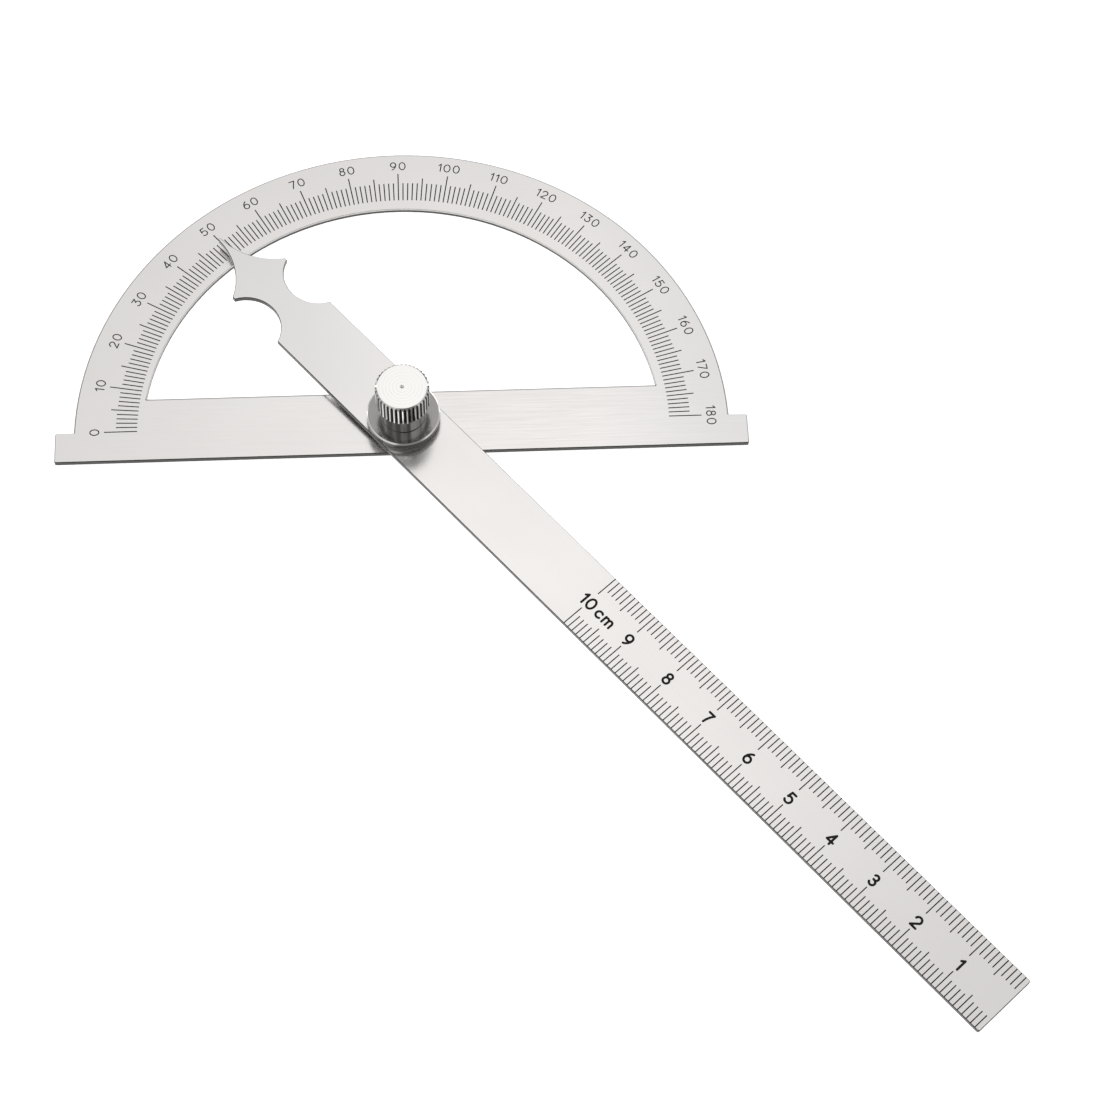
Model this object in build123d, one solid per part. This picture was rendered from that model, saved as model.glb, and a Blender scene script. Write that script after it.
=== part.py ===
from build123d import *
import os
from math import asin, atan2, cos, degrees, pi, radians, sin, sqrt

# Steel protractor with a swinging pointer-and-ruler arm, in millimetres.
# Z is up and normal to the plate. The origin is on the pivot axis, at the plate's flat underside.
# The 0-180 line of the scale lies along X, with 0 at -X, and the 90 mark is at +Y.

# Dial plate: the stamped outline lies a little off the centre of the engraved scale
PLATE_THICKNESS = 1.0
RING_OUTER_RADIUS = 59.5
RING_INNER_RADIUS = 47.2
OUTLINE_OFFSET_X = -0.26
OUTLINE_OFFSET_Y = -0.85
BASE_HALF_LENGTH = 62.85
BASE_FRONT = -5.95
BASE_WINDOW_EDGE = 6.6
BASE_CORNER_RADIUS = 0.22
EDGE_BREAK = 0.11

# Engraved marks
MARK_DEPTH = 0.06
LINE_WIDTH = 0.21
DEGREE_LINE_START = 48.35
DEGREE_LINE_END = 52.2
FIVE_DEGREE_LINE_END = 53.35
TEN_DEGREE_LINE_END = 54.3
DIAL_NUMERAL_BASELINE = 55.15
DIAL_NUMERAL_HEIGHT = 1.82
DIAL_NUMERAL_STROKE = 0.21
DIAL_NUMERAL_GAP = 0.44
MILLIMETRE_LINE = 3.0
FIVE_MILLIMETRE_LINE = 3.8
CENTIMETRE_LINE = 4.4
RULER_LENGTH = 100
RULER_NUMERAL_HEIGHT = 2.5
RULER_NUMERAL_STROKE = 0.44
RULER_NUMERAL_GAP = 0.34
RULER_NUMERAL_BASELINE = -1.5
UNIT_MARK_OFFSET = 2.35

# Arm: a ruler on one side of the pivot, a waisted arrow pointer on the other. It slopes down to its
# ruler end, which lies just above the paper.
ARM_THICKNESS = 1.0
ARM_WIDTH = 12.7
ARM_RULER_REACH = 149.15
ARM_TIP_REACH = 51.8
ARM_READING = 49.45
ARM_SLOPE = 0.66
ARM_CORNER_RADIUS = 0.4
TIP_RADIUS = 0.3
FLANK_RADIUS = 13.3
NOTCH_RADIUS = 6.6
NOTCH_CENTRE = -33.7
WAIST_HALF_WIDTH = 2.4

# Pivot stack, from the plate's underside up
STUD_RADIUS = 2.0
STUD_HEAD_RADIUS = 3.8
STUD_HEAD_HEIGHT = 0.5
STUD_TOP = 12.4
STUD_END_BEVEL = 0.3
RUNNING_CLEARANCE = 0.05
FRICTION_WASHER_RADIUS = 5.5
FRICTION_WASHER_THICKNESS = 0.7
ARM_PLAY = 0.1
SPRING_OUTER_RADIUS = 5.2
SPRING_INNER_RADIUS = 2.5
SPRING_THICKNESS = 0.25
SPRING_HEIGHT = 0.7
SPRING_WAVES = 3
SPRING_POINTS_PER_WAVE = 12
SPRING_END_GAP = 0.02
CLAMP_WASHER_RADIUS = 6.65
CLAMP_WASHER_THICKNESS = 1.5
CLAMP_WASHER_BEVEL = 0.25

# Knob
COLLAR_RADIUS = 4.1
KNURL_RADIUS = 4.88
KNOB_HEIGHT = 9.5
COLLAR_HEIGHT = 4.2
COLLAR_BEVEL = 0.2
KNURL_TOP_BEVEL = 0.44
KNURL_BOTTOM_BEVEL = 0.35
KNURL_TEETH = 38
KNURL_DEPTH = 0.36
KNURL_GROOVE_WIDTH = 0.6
KNURL_CUTTER_OVERSHOOT = 0.3
KNOB_BORE_DEPTH = 7.6
CENTRE_DIMPLE_RADIUS = 0.35
CENTRE_DIMPLE_DEPTH = 0.3

ARM_BOTTOM = PLATE_THICKNESS + FRICTION_WASHER_THICKNESS + ARM_PLAY
SPRING_BOTTOM = ARM_BOTTOM + ARM_THICKNESS + ARM_PLAY
CLAMP_BOTTOM = SPRING_BOTTOM + SPRING_HEIGHT
KNOB_BOTTOM = CLAMP_BOTTOM + CLAMP_WASHER_THICKNESS


# Numeral strokes on a grid one numeral tall: straight strokes join points, arcs are
# (centre x, centre y, radius, start angle, sweep) and a loop is
# (centre x, centre y, half width, half height).
GLYPHS = {
    "0": {"width": 0.70, "loops": [(0.35, 0.5, 0.35, 0.5)]},
    "1": {"width": 0.24, "lines": [((0.0, 0.78), (0.24, 1.0)), ((0.24, 1.0), (0.24, 0.0))]},
    "2": {
        "width": 0.60,
        "lines": [((0.53, 0.53), (0.0, 0.0)), ((0.0, 0.0), (0.60, 0.0))],
        "arcs": [(0.30, 0.70, 0.30, -35, 205)],
    },
    "3": {
        "width": 0.60,
        "lines": [((0.05, 1.0), (0.56, 1.0)), ((0.56, 1.0), (0.27, 0.61))],
        "arcs": [(0.29, 0.31, 0.31, -155, 250)],
    },
    "4": {
        "width": 0.68,
        "lines": [((0.47, 1.0), (0.0, 0.27)), ((0.0, 0.27), (0.68, 0.27)), ((0.47, 1.0), (0.47, 0.0))],
    },
    "5": {
        "width": 0.60,
        "lines": [((0.54, 1.0), (0.12, 1.0)), ((0.12, 1.0), (0.06, 0.52))],
        "arcs": [(0.28, 0.32, 0.32, -150, 288)],
    },
    "6": {"width": 0.62, "loops": [(0.31, 0.31, 0.31, 0.31)], "arcs": [(0.77, 0.31, 0.77, 116, 64)]},
    "7": {"width": 0.58, "lines": [((0.0, 1.0), (0.58, 1.0)), ((0.58, 1.0), (0.20, 0.0))]},
    "8": {"width": 0.58, "loops": [(0.29, 0.28, 0.29, 0.28), (0.29, 0.78, 0.24, 0.22)]},
    "9": {"width": 0.62, "loops": [(0.31, 0.69, 0.31, 0.31)], "arcs": [(-0.15, 0.69, 0.77, -64, 64)]},
    "c": {"width": 0.52, "arcs": [(0.31, 0.31, 0.31, 45, 270)]},
    "m": {
        "width": 0.84,
        "lines": [((0.0, 0.0), (0.0, 0.62)), ((0.42, 0.0), (0.42, 0.41)), ((0.84, 0.0), (0.84, 0.41))],
        "arcs": [(0.21, 0.41, 0.21, 0, 180), (0.63, 0.41, 0.21, 0, 180)],
    },
}

# The ruler's bold numerals differ in two places: a 3 with a round top and a 7 with a bowed stem
RULER_GLYPHS = GLYPHS | {
    "3": {"width": 0.60, "arcs": [(0.30, 0.765, 0.235, -115, 265), (0.30, 0.265, 0.265, -158, 248)]},
    "7": {"width": 0.58, "lines": [((0.0, 1.0), (0.58, 1.0))], "arcs": [(2.27, -0.214, 2.08, 144.3, 29.8)]},
}


def straight_stroke(start, end, stroke):
    """A straight engraved stroke with round ends."""
    middle = (start + end) * 0.5
    along = end - start
    turn = degrees(atan2(along.Y, along.X))
    return Pos(middle.X, middle.Y) * Rot(0, 0, turn) * SlotCenterToCenter(along.length, stroke)


def loop_stroke(centre, half_width, half_height, stroke):
    """A closed oval stroke."""
    outside = Ellipse(half_width + stroke / 2, half_height + stroke / 2)
    inside = Ellipse(half_width - stroke / 2, half_height - stroke / 2)
    return Pos(centre.X, centre.Y) * (outside - inside)


def glyph_width(letter, height, stroke):
    return GLYPHS[letter]["width"] * (height - stroke) + stroke


def glyph_face(glyph, height, stroke):
    """One character as a face, with its left foot at the origin, height tall over its strokes."""
    unit = height - stroke
    corner = Vector(stroke / 2, stroke / 2)
    pieces = []
    for start, end in glyph.get("lines", []):
        pieces.append(straight_stroke(corner + Vector(*start) * unit, corner + Vector(*end) * unit, stroke))
    for x, y, radius, first, sweep in glyph.get("arcs", []):
        centre = corner + Vector(x, y) * unit
        pieces.append(SlotArc(CenterArc((centre.X, centre.Y), radius * unit, first, sweep), stroke))
    for x, y, half_width, half_height in glyph.get("loops", []):
        centre = corner + Vector(x, y) * unit
        pieces.append(loop_stroke(centre, half_width * unit, half_height * unit, stroke))
    return sum(pieces[1:], pieces[0])


def text_faces(text, height, stroke, gap, glyphs=GLYPHS):
    """A line of characters centred on the origin, with its foot on the X axis."""
    widths = [glyph_width(letter, height, stroke) for letter in text]
    left = -(sum(widths) + gap * (len(text) - 1)) / 2
    faces = []
    for letter, width in zip(text, widths):
        faces.append(Pos(left, 0) * glyph_face(glyphs[letter], height, stroke))
        left += width + gap
    return faces


def engrave(body, faces, top):
    """Sink flat marks into a body from its top face."""
    cutters = [extrude(Pos(0, 0, top) * face, MARK_DEPTH, both=True) for face in faces]
    return body - cutters


def break_edges(body, z, amount):
    """Bevel the outline edges of a flat body that lie at height z."""
    edges = body.edges().filter_by_position(Axis.Z, z, z)
    return chamfer(edges, amount)


def washer(outer, inner, bottom, thickness):
    ring = Circle(outer) - Circle(inner)
    return extrude(Pos(0, 0, bottom) * ring, thickness)


def degree_lines():
    """One radial line per degree, longer at each fifth and tenth."""
    lines = []
    for degree in range(181):
        end = DEGREE_LINE_END
        if degree % 5 == 0:
            end = FIVE_DEGREE_LINE_END
        if degree % 10 == 0:
            end = TEN_DEGREE_LINE_END
        place = Rot(0, 0, 180 - degree) * Pos((DEGREE_LINE_START + end) / 2, 0)
        lines.append(place * Rectangle(end - DEGREE_LINE_START, LINE_WIDTH))
    return lines


def dial_numerals():
    """Numerals every ten degrees, their heads outwards, each centred on its line."""
    faces = []
    for degree in range(0, 181, 10):
        place = Rot(0, 0, 90 - degree) * Pos(0, DIAL_NUMERAL_BASELINE)
        text = text_faces(str(degree), DIAL_NUMERAL_HEIGHT, DIAL_NUMERAL_STROKE, DIAL_NUMERAL_GAP)
        faces += [place * face for face in text]
    return faces


def dial_plate():
    """Half ring and base bar in one sheet, with a window the shape of a D between them."""
    centre = Pos(OUTLINE_OFFSET_X, OUTLINE_OFFSET_Y)
    upper_half = Pos(0, RING_OUTER_RADIUS) * Rectangle(4 * RING_OUTER_RADIUS, 2 * RING_OUTER_RADIUS)
    ring = centre * Circle(RING_OUTER_RADIUS) & upper_half
    base = Pos(OUTLINE_OFFSET_X, BASE_FRONT / 2) * Rectangle(2 * BASE_HALF_LENGTH, -BASE_FRONT)
    base = fillet(base.vertices(), BASE_CORNER_RADIUS)
    window = centre * Circle(RING_INNER_RADIUS) & (Pos(0, BASE_WINDOW_EDGE) * upper_half)
    outline = ring + base - window
    plate = extrude(outline, PLATE_THICKNESS)
    plate = break_edges(plate, PLATE_THICKNESS, EDGE_BREAK)
    plate -= extrude(Circle(STUD_RADIUS), PLATE_THICKNESS)
    plate -= extrude(Circle(STUD_HEAD_RADIUS), STUD_HEAD_HEIGHT)
    return engrave(plate, degree_lines() + dial_numerals(), PLATE_THICKNESS)


def arm_outline():
    """The arm's outline, its pivot at the origin and its ruler end at +X."""
    half = ARM_WIDTH / 2
    tip_x = -ARM_TIP_REACH + TIP_RADIUS
    flank_y = TIP_RADIUS + FLANK_RADIUS
    barb_x = tip_x + sqrt(FLANK_RADIUS**2 - (flank_y - half) ** 2)
    flank_middle = radians(90 - degrees(asin((barb_x - tip_x) / FLANK_RADIUS)) / 2)
    flank_point = (tip_x + FLANK_RADIUS * cos(flank_middle), flank_y - FLANK_RADIUS * sin(flank_middle))
    notch_reach = sqrt(NOTCH_RADIUS**2 - (WAIST_HALF_WIDTH + NOTCH_RADIUS - half) ** 2)
    tip = ThreePointArc((tip_x, -TIP_RADIUS), (-ARM_TIP_REACH, 0), (tip_x, TIP_RADIUS))
    flank = ThreePointArc((tip_x, TIP_RADIUS), flank_point, (barb_x, half))
    barb = Line((barb_x, half), (NOTCH_CENTRE - notch_reach, half))
    notch = ThreePointArc(
        (NOTCH_CENTRE - notch_reach, half),
        (NOTCH_CENTRE, WAIST_HALF_WIDTH),
        (NOTCH_CENTRE + notch_reach, half),
    )
    side = Line((NOTCH_CENTRE + notch_reach, half), (ARM_RULER_REACH, half))
    end = Line((ARM_RULER_REACH, half), (ARM_RULER_REACH, -half))
    upper = [flank, barb, notch, side]
    lower = [mirror(edge, Plane.XZ) for edge in upper]
    return make_face(Curve() + [tip, *upper, end, *lower])


def ruler_lines():
    """Millimetre lines along both long edges of the arm, counted from the ruler end."""
    lines = []
    for millimetre in range(1, RULER_LENGTH + 1):
        length = MILLIMETRE_LINE
        if millimetre % 5 == 0:
            length = FIVE_MILLIMETRE_LINE
        if millimetre % 10 == 0:
            length = CENTIMETRE_LINE
        for side in (-1, 1):
            middle = side * (ARM_WIDTH - length) / 2
            place = Pos(ARM_RULER_REACH - millimetre, middle + side * LINE_WIDTH)
            lines.append(place * Rectangle(LINE_WIDTH, length + 2 * LINE_WIDTH))
    return lines


def ruler_numerals():
    """Centimetre numerals down the middle of the arm, with a unit mark beside the last."""
    lettering = (RULER_NUMERAL_HEIGHT, RULER_NUMERAL_STROKE)
    faces = []
    for centimetre in range(1, RULER_LENGTH // 10 + 1):
        place = Pos(ARM_RULER_REACH - 10 * centimetre, RULER_NUMERAL_BASELINE)
        text = text_faces(str(centimetre), *lettering, RULER_NUMERAL_GAP, RULER_GLYPHS)
        faces += [place * face for face in text]
    unit = text_faces("cm", *lettering, RULER_NUMERAL_GAP)
    unit_half_width = sum(glyph_width(letter, *lettering) for letter in "cm") / 2
    unit_middle = ARM_RULER_REACH - RULER_LENGTH + UNIT_MARK_OFFSET + unit_half_width
    place = Pos(unit_middle, RULER_NUMERAL_BASELINE)
    return faces + [place * face for face in unit]


def ruler_arm():
    """The engraved arm, turned to its reading and sloping down to its ruler end."""
    arm = extrude(arm_outline(), ARM_THICKNESS)
    corners = arm.edges().filter_by(Axis.Z).group_by(Axis.X)[-1]
    arm = fillet(corners, ARM_CORNER_RADIUS)
    arm = break_edges(arm, ARM_THICKNESS, EDGE_BREAK)
    arm -= extrude(Circle(STUD_RADIUS + RUNNING_CLEARANCE), ARM_THICKNESS)
    arm = engrave(arm, ruler_lines() + ruler_numerals(), ARM_THICKNESS)
    return Pos(0, 0, ARM_BOTTOM) * Rot(0, 0, -ARM_READING) * Rot(0, ARM_SLOPE, 0) * arm


def pivot_stud():
    """Flush round head in the plate's underside, with a shank up into the knob."""
    shank = extrude(Circle(STUD_RADIUS), STUD_TOP)
    shank = chamfer(shank.faces().sort_by(Axis.Z)[-1].edges(), STUD_END_BEVEL)
    return shank + extrude(Circle(STUD_HEAD_RADIUS), STUD_HEAD_HEIGHT)


def friction_washer():
    return washer(
        FRICTION_WASHER_RADIUS, STUD_RADIUS + RUNNING_CLEARANCE, PLATE_THICKNESS, FRICTION_WASHER_THICKNESS
    )


def wavy_circle(radius, middle, height):
    """A closed curve on a cylinder that rises and falls once per spring wave."""
    steps = SPRING_POINTS_PER_WAVE * SPRING_WAVES
    points = []
    for step in range(steps):
        angle = 2 * pi * step / steps
        rise = height / 2 * cos(SPRING_WAVES * angle)
        points.append((radius * cos(angle), radius * sin(angle), middle + rise))
    return Edge.make_spline(points, periodic=True)


def spring_washer():
    """Wave spring between the arm and the clamp washer."""
    middle = SPRING_BOTTOM + SPRING_HEIGHT / 2
    wave_height = SPRING_HEIGHT - SPRING_THICKNESS - 2 * SPRING_END_GAP
    half = SPRING_THICKNESS / 2
    inner_low = wavy_circle(SPRING_INNER_RADIUS, middle - half, wave_height)
    inner_high = wavy_circle(SPRING_INNER_RADIUS, middle + half, wave_height)
    outer_low = wavy_circle(SPRING_OUTER_RADIUS, middle - half, wave_height)
    outer_high = wavy_circle(SPRING_OUTER_RADIUS, middle + half, wave_height)
    faces = [
        Face.make_surface_from_curves(inner_low, outer_low),
        Face.make_surface_from_curves(outer_low, outer_high),
        Face.make_surface_from_curves(outer_high, inner_high),
        Face.make_surface_from_curves(inner_high, inner_low),
    ]
    return Solid(Shell(faces))


def clamp_washer():
    ring = washer(
        CLAMP_WASHER_RADIUS, STUD_RADIUS + RUNNING_CLEARANCE, CLAMP_BOTTOM, CLAMP_WASHER_THICKNESS
    )
    rims = ring.edges().filter_by(GeomType.CIRCLE).sort_by(SortBy.RADIUS)[-2:]
    return chamfer(rims, CLAMP_WASHER_BEVEL)


def knurl_groove():
    """A V-shaped cutter along the knob's side, opening outwards."""
    mouth = KNURL_RADIUS + KNURL_CUTTER_OVERSHOOT
    slope = KNURL_GROOVE_WIDTH / 2 / KNURL_DEPTH
    half = (KNURL_DEPTH + KNURL_CUTTER_OVERSHOOT) * slope
    corners = [(KNURL_RADIUS - KNURL_DEPTH, 0), (mouth, half), (mouth, -half)]
    section = make_face(Polyline(*corners, close=True))
    bottom = KNOB_BOTTOM + COLLAR_HEIGHT - KNURL_CUTTER_OVERSHOOT
    return extrude(Pos(0, 0, bottom) * section, KNOB_HEIGHT)


def knurled_knob():
    """Turned knob with a smooth collar, a straight-knurled grip and a blind hole for the stud."""
    knurl_bottom = KNOB_BOTTOM + COLLAR_HEIGHT
    top = KNOB_BOTTOM + KNOB_HEIGHT
    bore = STUD_RADIUS + RUNNING_CLEARANCE
    profile = make_face(
        Polyline(
            (bore, KNOB_BOTTOM),
            (COLLAR_RADIUS - COLLAR_BEVEL, KNOB_BOTTOM),
            (COLLAR_RADIUS, KNOB_BOTTOM + COLLAR_BEVEL),
            (COLLAR_RADIUS, knurl_bottom),
            (KNURL_RADIUS - KNURL_BOTTOM_BEVEL, knurl_bottom),
            (KNURL_RADIUS, knurl_bottom + KNURL_BOTTOM_BEVEL),
            (KNURL_RADIUS, top - KNURL_TOP_BEVEL),
            (KNURL_RADIUS - KNURL_TOP_BEVEL, top),
            (CENTRE_DIMPLE_RADIUS, top),
            (0, top - CENTRE_DIMPLE_DEPTH),
            (0, KNOB_BOTTOM + KNOB_BORE_DEPTH),
            (bore, KNOB_BOTTOM + KNOB_BORE_DEPTH),
            close=True,
        )
    )
    knob = revolve(Plane.XZ * profile, Axis.Z)
    grooves = [Rot(0, 0, 360 * tooth / KNURL_TEETH) * knurl_groove() for tooth in range(KNURL_TEETH)]
    return knob - grooves


PARTS = {
    "dial_plate": dial_plate,
    "pivot_stud": pivot_stud,
    "friction_washer": friction_washer,
    "ruler_arm": ruler_arm,
    "spring_washer": spring_washer,
    "clamp_washer": clamp_washer,
    "knurled_knob": knurled_knob,
}

os.makedirs("parts", exist_ok=True)
for name, build in PARTS.items():
    export_step(build(), f"parts/{name}.step")
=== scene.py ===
import math

import bmesh
import bpy
from mathutils import Matrix, Vector


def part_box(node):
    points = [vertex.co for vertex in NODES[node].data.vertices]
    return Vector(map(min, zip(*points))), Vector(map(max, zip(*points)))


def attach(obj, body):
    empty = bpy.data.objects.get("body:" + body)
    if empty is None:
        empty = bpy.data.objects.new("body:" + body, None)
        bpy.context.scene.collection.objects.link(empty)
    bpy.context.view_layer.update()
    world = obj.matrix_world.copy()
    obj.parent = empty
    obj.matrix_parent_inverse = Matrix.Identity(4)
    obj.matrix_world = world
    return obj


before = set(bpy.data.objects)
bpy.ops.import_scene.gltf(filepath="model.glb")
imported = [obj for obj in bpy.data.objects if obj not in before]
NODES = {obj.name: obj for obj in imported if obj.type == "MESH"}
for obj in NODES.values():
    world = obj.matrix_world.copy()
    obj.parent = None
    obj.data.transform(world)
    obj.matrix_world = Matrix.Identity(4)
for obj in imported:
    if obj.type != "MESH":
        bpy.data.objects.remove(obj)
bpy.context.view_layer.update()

# Sizes of the real object, in metres, that the frame doesn't state by itself
MARK_DEPTH = 0.00006
FILL_BELOW_FACE = 0.000006
ARM_READING = math.radians(49.45)
BASE_WINDOW_EDGE = 0.0066
RING_INNER_RADIUS = 0.0472
RING_OUTER_RADIUS = 0.0595
OUTLINE_OFFSET = (-0.00026, -0.00085)
COLLAR_RADIUS = 0.0041
KNURL_GROOVE_RADIUS = 0.00452
KNURL_TIP_RADIUS = 0.00488

# Camera: where it stands about the aim point, and its lens
CAMERA_AIM = Vector((0.025422, -0.026533, 0.001))
CAMERA_DISTANCE = 0.50313
CAMERA_AZIMUTH = math.radians(-4.832)
CAMERA_ELEVATION = math.radians(63.6)
CAMERA_ROLL = math.radians(2.573)
CAMERA_LENS = 92.456
SENSOR_WIDTH = 36.0
NEAREST_SEEN = 0.01

# Studio: directions from the object, cosines of the angles to them, and strengths
TENT_LOW = 0.45
TENT_OVERHEAD = 0.78
TENT_FULL_COSINE = 0.8
TENT_COLOUR = (1.0, 0.99, 0.98)
HOT_SPOT = (0.045, 0.425, 0.905)
HOT_SPOT_EDGE_COSINE = 0.975
HOT_SPOT_EXTRA = 0.46
DARK_GAP = (0.24, -0.91, 0.36)
DARK_GAP_EDGE_COSINE = 0.78
DARK_GAP_FULL_COSINE = 0.93
DARK_GAP_SHARE = 0.3
KEY_PLACE = Vector((-0.9, 0.5, 1.0))
KEY_AIM = Vector((0.03, -0.02, 0.0))
KEY_SIDE = 0.6
KEY_POWER = 3.0

# White table
TABLE_RADIUS = 3.0
TABLE_CORNERS = 96
TABLE_BELOW_PLATE = 0.00005
TABLE_GLOW = 0.7
TABLE_DARK = (0.88, 0.88, 0.88)
TABLE_LIGHT = (0.92, 0.92, 0.92)

# Brushed sheet: colours, and noise cells per metre along the brushing, across it and upward
STEEL_DARK = (0.755, 0.74, 0.735)
STEEL_LIGHT = (0.815, 0.8, 0.795)
# Painted shade: a darker steel blended in towards the arm's pointer and the plate's 180 end
STEEL_PAINTED_SHADE = (0.72, 0.71, 0.708)
SHEET_ROUGHNESS = 0.22
ROUGHNESS_SPREAD = 0.03
STREAK_CELLS = (70.0, 3200.0, 900.0)
SCRATCH_CELLS = (260.0, 9000.0, 900.0)
PATCH_CELLS = (38.0, 60.0, 50.0)
STREAK_SHARE = 0.6
BRUSH_SHARE = 0.75
FAINT_BRUSHING = 0.16
BRUSH_DEPTH = 0.0000012

# Edges of the sheet: dark walls that are partly dull cut edge and partly painted shade, a painted
# reflection on the ring's inner wall with painted shadow at its foot, and painted shade lines along far
# edges
CUT_EDGE_AND_SHADE = (0.065, 0.063, 0.061)
# Painted reflection on the ring's inner wall, and the height of the painted shadow at its foot
PAINTED_WALL_REFLECTION = (0.72, 0.71, 0.7)
PAINTED_WALL_METALLIC = 0.2
PAINTED_SHADOW_FOOT = 0.0006
PAINTED_SHADE_LINE = (0.36, 0.35, 0.345)
RING_LINE_WIDTH = 0.00022
BAR_LINE_WIDTH = 0.00026
LINE_SOFTNESS = 0.00003

# The upright part of a face's direction, under which it counts as a wall
BEVEL_OR_WALL = 0.75
WALL_ONLY = 0.45
WALL_BLEND = 0.08

# Knob
NICKEL_DULL = (0.77, 0.76, 0.75)
NICKEL_BRIGHT = (0.83, 0.82, 0.81)
KNOB_ROUGHNESS = 0.1
KNOB_RING_PITCH = 0.00062
KNOB_RING_DEPTH = 0.0000015
UPRIGHT_BAND_CELLS = (750.0, 750.0, 20.0)
# Painted reflections as light and dark bands on the knurl tips and the collar, and painted shade in the
# knurl grooves and on the far bevel
KNURL_REFLECTION_DARK = (0.17, 0.167, 0.165)
KNURL_REFLECTION_BRIGHT = (0.85, 0.84, 0.83)
COLLAR_REFLECTION_DARK = (0.22, 0.215, 0.21)
COLLAR_REFLECTION_BRIGHT = (0.85, 0.84, 0.83)
GROOVE_PAINTED_SHADE = (0.012, 0.012, 0.012)
FAR_BEVEL_PAINTED_SHADE = (0.12, 0.118, 0.115)

# Clamp washer
WASHER_DARK = (0.25, 0.243, 0.24)
WASHER_LIGHT = (0.32, 0.312, 0.308)
WASHER_ROUGHNESS = 0.16
WASHER_RING_PITCH = 0.00035
WASHER_RING_DEPTH = 0.0000008
# Painted highlight on the bevel, painted shade on the rim, and painted light on the pale underside
WASHER_PAINTED_HIGHLIGHT = (0.95, 0.94, 0.93)
WASHER_RIM_PAINTED_SHADE = (0.06, 0.058, 0.056)
WASHER_UNDERSIDE_PAINTED_LIGHT = (0.5, 0.49, 0.48)

# Stud and spring
SMALL_PART_ROUGHNESS = 0.35
SMALL_PART_RING_PITCH = 0.0003
STUD_DARK = (0.5, 0.5, 0.49)
STUD_LIGHT = (0.62, 0.62, 0.61)
STUD_RING_DEPTH = 0.000002
SPRING_DARK = (0.3, 0.3, 0.3)
SPRING_LIGHT = (0.4, 0.4, 0.4)
SPRING_RING_DEPTH = 0.000001

# Nylon washer and the paint in the marks
NYLON_DARK = (0.62, 0.6, 0.54)
NYLON_MIDDLE = (0.7, 0.68, 0.62)
NYLON_LIGHT = (0.76, 0.74, 0.68)
DIAL_PAINT = (0.01, 0.009, 0.008)
RULER_PAINT = (0.006, 0.0055, 0.005)
PAINT_SPREAD = 0.012
PAINT_SHINE = 0.15


# ---------------------------------------------------------------- materials

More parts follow.
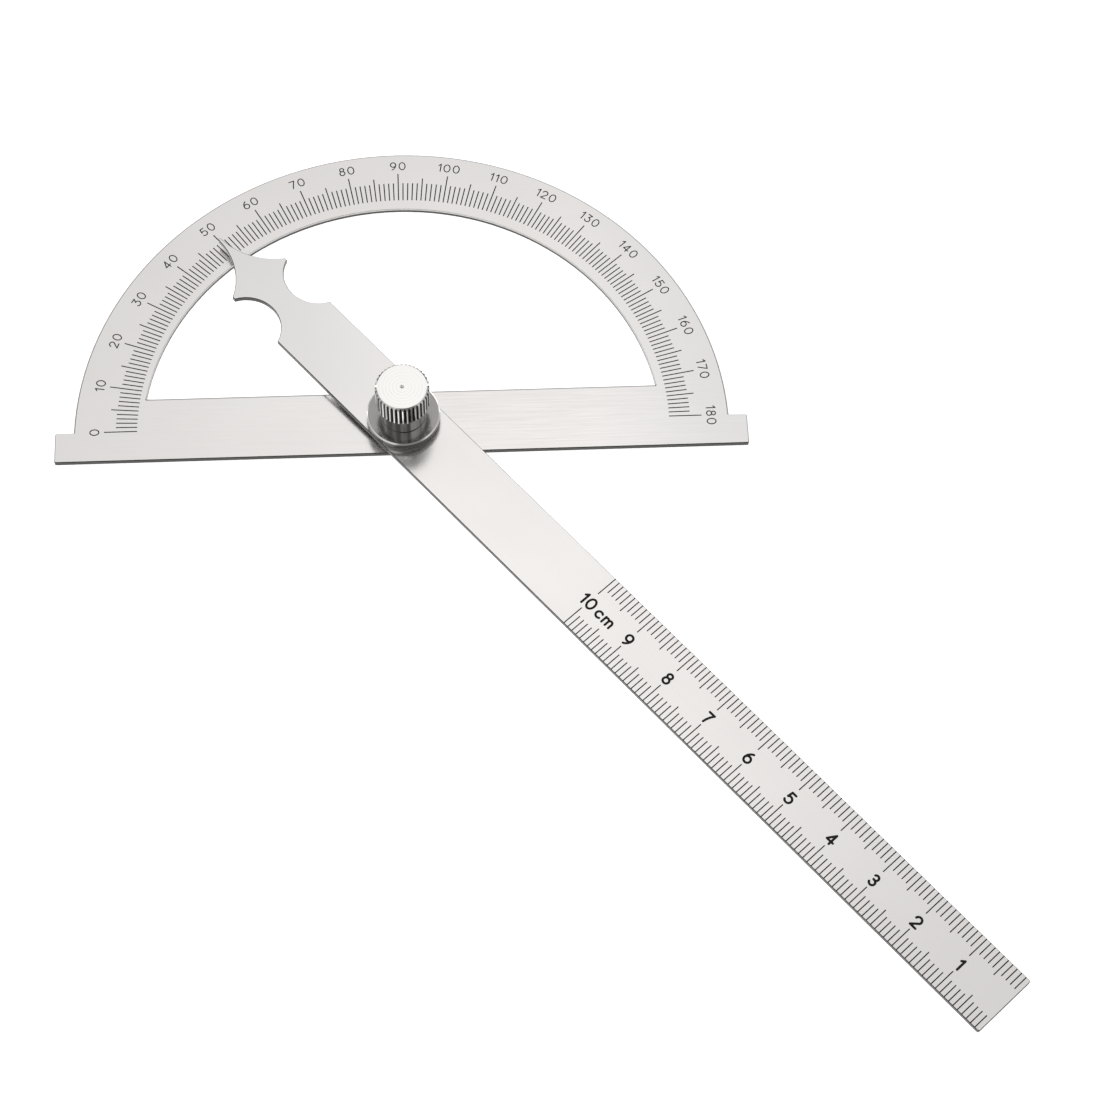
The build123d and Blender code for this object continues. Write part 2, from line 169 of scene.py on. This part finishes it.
class Shader:
    """A Principled material and the few node shapes that the surfaces share."""

    def __init__(self, name, colour, metallic, roughness):
        self.material = bpy.data.materials.new(name)
        self.material.use_nodes = True
        self.tree = self.material.node_tree
        self.surface = self.tree.nodes["Principled BSDF"]
        self.surface.inputs["Base Color"].default_value = (*colour, 1.0)
        self.surface.inputs["Metallic"].default_value = metallic
        self.surface.inputs["Roughness"].default_value = roughness
        self.coords = self.node("ShaderNodeTexCoord").outputs["Object"]

    def node(self, kind, **settings):
        node = self.tree.nodes.new(kind)
        for key, value in settings.items():
            setattr(node, key, value)
        return node

    def link(self, source, target):
        self.tree.links.new(source, target)

    def noise(self, cells, detail=2.0, turn=0.0):
        """Noise with that many cells per metre along X, Y and Z, turned about Z."""
        turned = self.node("ShaderNodeMapping")
        turned.inputs["Rotation"].default_value = (0.0, 0.0, turn)
        self.link(self.coords, turned.inputs["Vector"])
        scaled = self.node("ShaderNodeMapping")
        scaled.inputs["Scale"].default_value = cells
        self.link(turned.outputs["Vector"], scaled.inputs["Vector"])
        noise = self.node("ShaderNodeTexNoise")
        noise.inputs["Scale"].default_value = 1.0
        noise.inputs["Detail"].default_value = detail
        self.link(scaled.outputs["Vector"], noise.inputs["Vector"])
        return noise.outputs["Fac"]

    def ramp(self, value, low, high, from_low=0.3, from_high=0.7):
        """A value stretched from one range onto another."""
        node = self.node("ShaderNodeMapRange")
        node.inputs["From Min"].default_value = from_low
        node.inputs["From Max"].default_value = from_high
        node.inputs["To Min"].default_value = low
        node.inputs["To Max"].default_value = high
        self.link(value, node.inputs["Value"])
        return node.outputs["Result"]

    def math(self, operation, *values):
        node = self.node("ShaderNodeMath", operation=operation)
        for socket, value in zip(node.inputs, values):
            if isinstance(value, (int, float)):
                socket.default_value = value
            else:
                self.link(value, socket)
        return node.outputs["Value"]

    def both(self, *shares):
        """The product of shares: 1 only where all of them are 1."""
        product = shares[0]
        for share in shares[1:]:
            product = self.math("MULTIPLY", product, share)
        return product

    def weighted(self, first, second, share):
        """A sum of two values that gives the first a share and the second the rest."""
        first = self.math("MULTIPLY", first, share)
        second = self.math("MULTIPLY", second, 1.0 - share)
        return self.math("ADD", first, second)

    def opposite(self, share):
        """1 where a share is 0, and 0 where it is 1."""
        return self.ramp(share, 1.0, 0.0, 0.0, 1.0)

    def blend(self, share, dark, light):
        """A colour between two, by a share from 0 to 1."""
        node = self.node("ShaderNodeMix", data_type="RGBA")
        for name, colour in (("A", dark), ("B", light)):
            socket = [s for s in node.inputs if s.name == name and s.type == "RGBA"][0]
            if isinstance(colour, tuple):
                socket.default_value = (*colour, 1.0)
            else:
                self.link(colour, socket)
        self.link(share, node.inputs["Factor"])
        return [s for s in node.outputs if s.type == "RGBA"][0]

    def bump(self, height, depth, normal=None):
        node = self.node("ShaderNodeBump")
        node.inputs["Strength"].default_value = 1.0
        node.inputs["Distance"].default_value = depth
        self.link(height, node.inputs["Height"])
        if normal is not None:
            self.link(normal, node.inputs["Normal"])
        return node.outputs["Normal"]

    def position(self, axis):
        split = self.node("ShaderNodeSeparateXYZ")
        self.link(self.coords, split.inputs["Vector"])
        return split.outputs[axis]

    def normal(self, axis):
        """One component of the face's own direction."""
        geometry = self.node("ShaderNodeNewGeometry")
        split = self.node("ShaderNodeSeparateXYZ")
        self.link(geometry.outputs["True Normal"], split.inputs["Vector"])
        return split.outputs[axis]

    def walls(self, steep):
        """1 on faces steeper than a slope, 0 on faces that look up or down."""
        upright = self.math("ABSOLUTE", self.normal("Z"))
        return self.ramp(upright, 1.0, 0.0, steep, steep + WALL_BLEND)

    def between(self, value, low, high, soft):
        """1 where a value lies between two limits, with soft ends."""
        above = self.ramp(value, 0.0, 1.0, low - soft, low)
        below = self.ramp(value, 1.0, 0.0, high, high + soft)
        return self.both(above, below)

    def radius(self, centre=(0.0, 0.0)):
        """Distance from an upright axis, in metres."""
        shifted = self.node("ShaderNodeVectorMath", operation="SUBTRACT")
        shifted.inputs[1].default_value = (*centre, 0.0)
        self.link(self.coords, shifted.inputs[0])
        flat = self.node("ShaderNodeVectorMath", operation="MULTIPLY")
        flat.inputs[1].default_value = (1.0, 1.0, 0.0)
        self.link(shifted.outputs["Vector"], flat.inputs[0])
        length = self.node("ShaderNodeVectorMath", operation="LENGTH")
        self.link(flat.outputs["Vector"], length.inputs[0])
        return length.outputs["Value"]


def sheet_steel(name, turn, painted_shade_share, brushing=None, wall_painted_reflection=None, edge_painted_shade=None):
    """Satin stainless sheet, brushed at a turn about Z, with dark walls and chamfers that are partly dull
    cut edge and partly painted shade.

    The last four are functions of the shader that give shares from 0 to 1 over the surface.
    """
    shader = Shader(name, STEEL_LIGHT, 1.0, SHEET_ROUGHNESS)
    streaks = shader.noise(STREAK_CELLS, 3.0, turn)
    scratches = shader.noise(SCRATCH_CELLS, 2.0, turn)
    patches = shader.noise(PATCH_CELLS, 2.0, turn)
    strength = FAINT_BRUSHING if brushing is None else brushing(shader)
    centred = shader.math("SUBTRACT", shader.weighted(streaks, scratches, STREAK_SHARE), 0.5)
    brush = shader.math("ADD", shader.math("MULTIPLY", centred, strength), 0.5)
    tone = shader.weighted(brush, patches, BRUSH_SHARE)
    face = shader.blend(shader.ramp(tone, 0.0, 1.0, 0.36, 0.64), STEEL_DARK, STEEL_LIGHT)
    # Painted shade towards one end of the part
    face = shader.blend(painted_shade_share(shader), face, STEEL_PAINTED_SHADE)
    # Painted shade lines along far edges, where a function for them is given
    if edge_painted_shade is not None:
        face = shader.blend(edge_painted_shade(shader), face, PAINTED_SHADE_LINE)
    # Walls and chamfers take a dark colour: partly dull cut edge, partly painted shade
    walls = shader.walls(BEVEL_OR_WALL)
    edges = CUT_EDGE_AND_SHADE
    # Painted reflection on a wall, with painted shadow at its foot, where a function for it is given
    if wall_painted_reflection is not None:
        bright = wall_painted_reflection(shader)
        edges = shader.blend(bright, CUT_EDGE_AND_SHADE, PAINTED_WALL_REFLECTION)
        metallic = shader.ramp(shader.both(bright, walls), 1.0, PAINTED_WALL_METALLIC, 0.0, 1.0)
        shader.link(metallic, shader.surface.inputs["Metallic"])
    shader.link(shader.blend(walls, face, edges), shader.surface.inputs["Base Color"])
    roughness = shader.ramp(tone, SHEET_ROUGHNESS + ROUGHNESS_SPREAD, SHEET_ROUGHNESS - ROUGHNESS_SPREAD)
    shader.link(roughness, shader.surface.inputs["Roughness"])
    shader.link(shader.bump(brush, BRUSH_DEPTH), shader.surface.inputs["Normal"])
    return shader.material


def painted_shade_to_pointer(shader):
    """Painted shade: a slightly darker steel towards the arm's pointer, matched in tone to the dimmer light
    there. A slightly darker steel towards the arm's pointer, matched by eye and tone, cause unknown.
    """
    return shader.ramp(shader.position("X"), 0.85, 0.0, -0.018, 0.004)


def painted_shade_to_bar_end(shader):
    """Painted shade: a slightly darker steel towards the plate's 180 end, matched in tone to the dimmer
    light there. A slightly darker steel towards the plate's 180 end, matched by eye and tone, cause
    unknown.
    """
    return shader.ramp(shader.position("X"), 0.0, 0.9, 0.034, 0.056)


def dial_brushing(shader):
    """Brush lines show on the base bar, most of all right of the knob, and hardly on the ring."""
    bar_top = BASE_WINDOW_EDGE
    across = shader.ramp(shader.position("Y"), 1.0, FAINT_BRUSHING, bar_top - 0.001, bar_top + 0.003)
    along = shader.ramp(shader.position("X"), 0.35, 1.0, -0.01, 0.012)
    return shader.both(across, along)


def ring_wall_painted_reflection(shader):
    """Painted reflection: the ring's inner wall is pale and barely metallic so it shows bright, with
    painted shadow as a dark line where it meets the table.
    """
    reach = shader.radius(OUTLINE_OFFSET)
    on_circle = shader.between(reach, RING_INNER_RADIUS - 0.0003, RING_INNER_RADIUS + 0.0003, 0.0001)
    above_bar = shader.ramp(shader.position("Y"), 0.0, 1.0, BASE_WINDOW_EDGE, BASE_WINDOW_EDGE + 0.0003)
    above_foot = shader.ramp(shader.position("Z"), 0.0, 1.0, PAINTED_SHADOW_FOOT, PAINTED_SHADOW_FOOT + 0.0001)
    return shader.both(on_circle, above_bar, above_foot)


def far_edge_painted_shade(shader):
    """Painted shade: thin dark lines on the face along the ring's outer edge and the bar's window edge, the
    far edges.
    """
    reach = shader.radius(OUTLINE_OFFSET)
    height = shader.position("Y")
    at_ring = shader.between(reach, RING_OUTER_RADIUS - RING_LINE_WIDTH, RING_OUTER_RADIUS, LINE_SOFTNESS)
    above_bar = shader.math("GREATER_THAN", height, 0.0)
    at_bar = shader.between(height, BASE_WINDOW_EDGE - BAR_LINE_WIDTH, BASE_WINDOW_EDGE, LINE_SOFTNESS)
    inside_ring = shader.math("LESS_THAN", reach, RING_INNER_RADIUS)
    return shader.math("MAXIMUM", shader.both(at_ring, above_bar), shader.both(at_bar, inside_ring))


def turned_metal(name, dark, light, roughness, ring_pitch, ring_depth):
    """Lathe-turned metal: faint concentric rings about the pivot axis, broken up by grain."""
    shader = Shader(name, light, 1.0, roughness)
    rings = shader.math("SINE", shader.math("MULTIPLY", shader.radius(), 2 * math.pi / ring_pitch))
    grain = shader.noise((420.0, 420.0, 420.0), 3.0)
    rings = shader.math("MULTIPLY", rings, shader.ramp(grain, 0.1, 1.0, 0.35, 0.65))
    mottled = shader.math("ADD", shader.math("MULTIPLY", rings, 0.3), 0.5)
    shader.colour = shader.blend(shader.ramp(mottled, 0.0, 1.0, 0.2, 0.8), dark, light)
    shader.link(shader.colour, shader.surface.inputs["Base Color"])
    shader.link(shader.ramp(grain, roughness * 0.85, roughness * 1.15), shader.surface.inputs["Roughness"])
    shader.link(shader.bump(rings, ring_depth), shader.surface.inputs["Normal"])
    return shader


def knob_nickel():
    """Bright nickel, with painted shade in the black knurl grooves and on the far bevel, and painted
    reflections as uneven light and dark bands on the knurl tips and the collar.
    """
    shader = turned_metal(
        "knob_nickel", NICKEL_DULL, NICKEL_BRIGHT, KNOB_ROUGHNESS, KNOB_RING_PITCH, KNOB_RING_DEPTH
    )
    reach = shader.radius()
    side = shader.walls(WALL_ONLY)
    bands = shader.noise(UPRIGHT_BAND_CELLS, 2.0)
    # Painted reflections: light and dark bands on the knurl's upright faces
    tips = shader.blend(shader.ramp(bands, 0.0, 1.0, 0.38, 0.6), KNURL_REFLECTION_DARK, KNURL_REFLECTION_BRIGHT)
    # Painted reflections: light and dark bands on the collar
    collar = shader.blend(shader.ramp(bands, 0.0, 1.0, 0.45, 0.62), COLLAR_REFLECTION_DARK, COLLAR_REFLECTION_BRIGHT)
    on_collar = shader.math("LESS_THAN", reach, COLLAR_RADIUS + 0.0001)
    walls = shader.blend(on_collar, tips, collar)
    # Painted shade: near black in the knurl grooves
    in_groove = shader.between(reach, KNURL_GROOVE_RADIUS - 0.0002, KNURL_TIP_RADIUS - 0.00009, 0.00005)
    walls = shader.blend(in_groove, walls, GROOVE_PAINTED_SHADE)
    colour = shader.blend(side, shader.colour, walls)
    # Painted shade: dark on bevels that face away, by world direction
    facing_away = shader.ramp(shader.normal("Y"), 0.0, 1.0, 0.05, 0.25)
    far_bevel_shade = shader.both(shader.walls(BEVEL_OR_WALL), facing_away, shader.opposite(side))
    colour = shader.blend(far_bevel_shade, colour, FAR_BEVEL_PAINTED_SHADE)
    shader.link(colour, shader.surface.inputs["Base Color"])
    return shader.material


def washer_steel():
    """Polished dark washer, with a painted highlight on its bevel, painted shade on its rim and a pale
    underside painted to lighten the shade beneath it.
    """
    shader = turned_metal(
        "washer_steel", WASHER_DARK, WASHER_LIGHT, WASHER_ROUGHNESS, WASHER_RING_PITCH, WASHER_RING_DEPTH
    )
    bevel = shader.between(shader.normal("Z"), 0.55, 0.85, 0.05)
    underside = shader.ramp(shader.normal("Z"), 1.0, 0.0, -0.95, -0.9)
    # Painted highlight: a bright bevel
    colour = shader.blend(bevel, shader.colour, WASHER_PAINTED_HIGHLIGHT)
    # Painted shade: a dark rim
    colour = shader.blend(shader.walls(WALL_ONLY), colour, WASHER_RIM_PAINTED_SHADE)
    # Painted light: a pale, not metallic underside that lightens the shade beneath the washer
    colour = shader.blend(underside, colour, WASHER_UNDERSIDE_PAINTED_LIGHT)
    shader.link(colour, shader.surface.inputs["Base Color"])
    shader.link(shader.opposite(underside), shader.surface.inputs["Metallic"])
    return shader.material


def small_steel(name, dark, light, ring_depth):
    """Plain turned steel of the small parts that hardly show."""
    shader = turned_metal(name, dark, light, SMALL_PART_ROUGHNESS, SMALL_PART_RING_PITCH, ring_depth)
    return shader.material


def mark_paint(name, colour):
    """Black paint left in an engraved mark, a little uneven."""
    shader = Shader(name, colour, 0.0, 0.7)
    shader.surface.inputs["Specular IOR Level"].default_value = PAINT_SHINE
    grain = shader.noise((2500.0, 2500.0, 2500.0), 2.0)
    lighter = tuple(channel + PAINT_SPREAD for channel in colour)
    shader.link(shader.blend(grain, colour, lighter), shader.surface.inputs["Base Color"])
    shader.link(shader.bump(grain, 0.000003), shader.surface.inputs["Normal"])
    return shader.material


def nylon():
    """Natural nylon with a slight grain."""
    shader = Shader("washer_nylon", NYLON_MIDDLE, 0.0, 0.5)
    grain = shader.noise((1200.0, 1200.0, 1200.0), 3.0)
    shader.link(shader.blend(grain, NYLON_DARK, NYLON_LIGHT), shader.surface.inputs["Base Color"])
    shader.link(shader.bump(grain, 0.00001), shader.surface.inputs["Normal"])
    return shader.material


def dress(node, material):
    """Give a CAD part its material."""
    data = NODES[node].data
    data.materials.clear()
    data.materials.append(material)


# ---------------------------------------------------------------- paint in the marks

def fill_marks(name, node, body, material):
    """Paint that fills the engraved marks in a part's top face, as thin closed plugs."""
    source = NODES[node].data
    upward = [face for face in source.polygons if face.normal.z > 0.99]
    normal = sum((face.normal * face.area for face in upward), Vector()).normalized()
    mark_floor = max(normal.dot(face.center) for face in upward) - MARK_DEPTH
    plugs = bmesh.new()
    made = {}
    for face in upward:
        if abs(normal.dot(face.center) - mark_floor) > MARK_DEPTH / 4:
            continue
        corners = []
        for index in face.vertices:
            spot = tuple(round(value, 8) for value in source.vertices[index].co)
            if spot not in made:
                made[spot] = plugs.verts.new(source.vertices[index].co)
            corners.append(made[spot])
        if len(set(corners)) > 2:
            plugs.faces.new(corners)
    extruded = bmesh.ops.extrude_face_region(plugs, geom=plugs.faces[:])
    raised = [item for item in extruded["geom"] if isinstance(item, bmesh.types.BMVert)]
    bmesh.ops.translate(plugs, verts=raised, vec=normal * (MARK_DEPTH - FILL_BELOW_FACE))
    bmesh.ops.recalc_face_normals(plugs, faces=plugs.faces[:])
    mesh = bpy.data.meshes.new(name)
    plugs.to_mesh(mesh)
    plugs.free()
    paint = bpy.data.objects.new(name, mesh)
    bpy.context.scene.collection.objects.link(paint)
    mesh.materials.append(material)
    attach(paint, body)


# ---------------------------------------------------------------- stage, light and camera

def floor():
    """Plain white table top under the plate."""
    shader = Shader("white_table", TABLE_LIGHT, 0.0, 0.9)
    grain = shader.noise((300.0, 300.0, 300.0), 2.0)
    shader.link(shader.blend(grain, TABLE_DARK, TABLE_LIGHT), shader.surface.inputs["Base Color"])
    shader.surface.inputs["Emission Color"].default_value = (1.0, 1.0, 1.0, 1.0)
    shader.surface.inputs["Emission Strength"].default_value = TABLE_GLOW
    top = bmesh.new()
    bmesh.ops.create_circle(top, cap_ends=True, radius=TABLE_RADIUS, segments=TABLE_CORNERS)
    mesh = bpy.data.meshes.new("table_top")
    top.to_mesh(mesh)
    top.free()
    table = bpy.data.objects.new("table_top", mesh)
    bpy.context.scene.collection.objects.link(table)
    table.location.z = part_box("dial_plate")[0].z - TABLE_BELOW_PLATE
    mesh.materials.append(shader.material)


def key_light():
    """A weak softbox, far to the left and behind."""
    light = bpy.data.lights.new("key", "AREA")
    light.shape = "RECTANGLE"
    light.size = KEY_SIDE
    light.size_y = KEY_SIDE
    light.energy = KEY_POWER
    lamp = bpy.data.objects.new("key", light)
    lamp.location = KEY_PLACE
    lamp.rotation_euler = (KEY_AIM - KEY_PLACE).to_track_quat("-Z", "Y").to_euler()
    bpy.context.scene.collection.objects.link(lamp)


def surroundings():
    """A white studio tent, brightest high up behind, with a dim gap low down at the front right."""
    world = bpy.data.worlds.new("studio")
    world.use_nodes = True
    tree = world.node_tree
    direction = tree.nodes.new("ShaderNodeTexCoord").outputs["Generated"]

    def ramp(value, from_low, from_high, to_low, to_high):
        node = tree.nodes.new("ShaderNodeMapRange")
        node.interpolation_type = "SMOOTHSTEP"
        node.inputs["From Min"].default_value = from_low
        node.inputs["From Max"].default_value = from_high
        node.inputs["To Min"].default_value = to_low
        node.inputs["To Max"].default_value = to_high
        tree.links.new(value, node.inputs["Value"])
        return node.outputs["Result"]

    def towards(way):
        """The cosine of the angle to a direction."""
        node = tree.nodes.new("ShaderNodeVectorMath")
        node.operation = "DOT_PRODUCT"
        node.inputs[1].default_value = Vector(way).normalized()
        tree.links.new(direction, node.inputs[0])
        return node.outputs["Value"]

    def combine(operation, first, second):
        node = tree.nodes.new("ShaderNodeMath")
        node.operation = operation
        tree.links.new(first, node.inputs[0])
        tree.links.new(second, node.inputs[1])
        return node.outputs["Value"]

    tent = ramp(towards((0.0, 0.0, 1.0)), 0.0, TENT_FULL_COSINE, TENT_LOW, TENT_OVERHEAD)
    hot_spot = ramp(towards(HOT_SPOT), HOT_SPOT_EDGE_COSINE, 1.0, 0.0, HOT_SPOT_EXTRA)
    gap = ramp(towards(DARK_GAP), DARK_GAP_EDGE_COSINE, DARK_GAP_FULL_COSINE, 1.0, DARK_GAP_SHARE)
    strength = combine("MULTIPLY", combine("ADD", tent, hot_spot), gap)
    tree.links.new(strength, tree.nodes["Background"].inputs["Strength"])
    tree.nodes["Background"].inputs["Color"].default_value = (*TENT_COLOUR, 1.0)
    bpy.context.scene.world = world


def camera():
    """The camera on its sphere about the aim point, rolled a little."""
    back = Vector((
        math.sin(CAMERA_AZIMUTH) * math.cos(CAMERA_ELEVATION),
        -math.cos(CAMERA_AZIMUTH) * math.cos(CAMERA_ELEVATION),
        math.sin(CAMERA_ELEVATION),
    ))
    level = Vector((math.cos(CAMERA_AZIMUTH), math.sin(CAMERA_AZIMUTH), 0.0))
    upright = back.cross(level)
    right = level * math.cos(CAMERA_ROLL) + upright * math.sin(CAMERA_ROLL)
    up = upright * math.cos(CAMERA_ROLL) - level * math.sin(CAMERA_ROLL)
    data = bpy.data.cameras.new("camera")
    data.lens = CAMERA_LENS
    data.sensor_width = SENSOR_WIDTH
    data.clip_start = NEAREST_SEEN
    viewer = bpy.data.objects.new("camera", data)
    turn = Matrix((right, up, back)).transposed().to_4x4()
    viewer.matrix_world = Matrix.Translation(CAMERA_AIM + back * CAMERA_DISTANCE) @ turn
    bpy.context.scene.collection.objects.link(viewer)
    bpy.context.scene.camera = viewer


# ---------------------------------------------------------------- the scene

dial_steel = sheet_steel("dial_steel", 0.0, painted_shade_to_bar_end, dial_brushing, ring_wall_painted_reflection, far_edge_painted_shade)
dress("dial_plate", dial_steel)
dress("ruler_arm", sheet_steel("arm_steel", ARM_READING, painted_shade_to_pointer))
dress("clamp_washer", washer_steel())
dress("knurled_knob", knob_nickel())
dress("pivot_stud", small_steel("stud_steel", STUD_DARK, STUD_LIGHT, STUD_RING_DEPTH))
dress("spring_washer", small_steel("spring_steel", SPRING_DARK, SPRING_LIGHT, SPRING_RING_DEPTH))
dress("friction_washer", nylon())

fill_marks("dial_marks", "dial_plate", "dial", mark_paint("dial_mark_paint", DIAL_PAINT))
fill_marks("ruler_marks", "ruler_arm", "arm", mark_paint("ruler_mark_paint", RULER_PAINT))

floor()
surroundings()
key_light()
camera()
bpy.context.scene.view_settings.view_transform = "Standard"
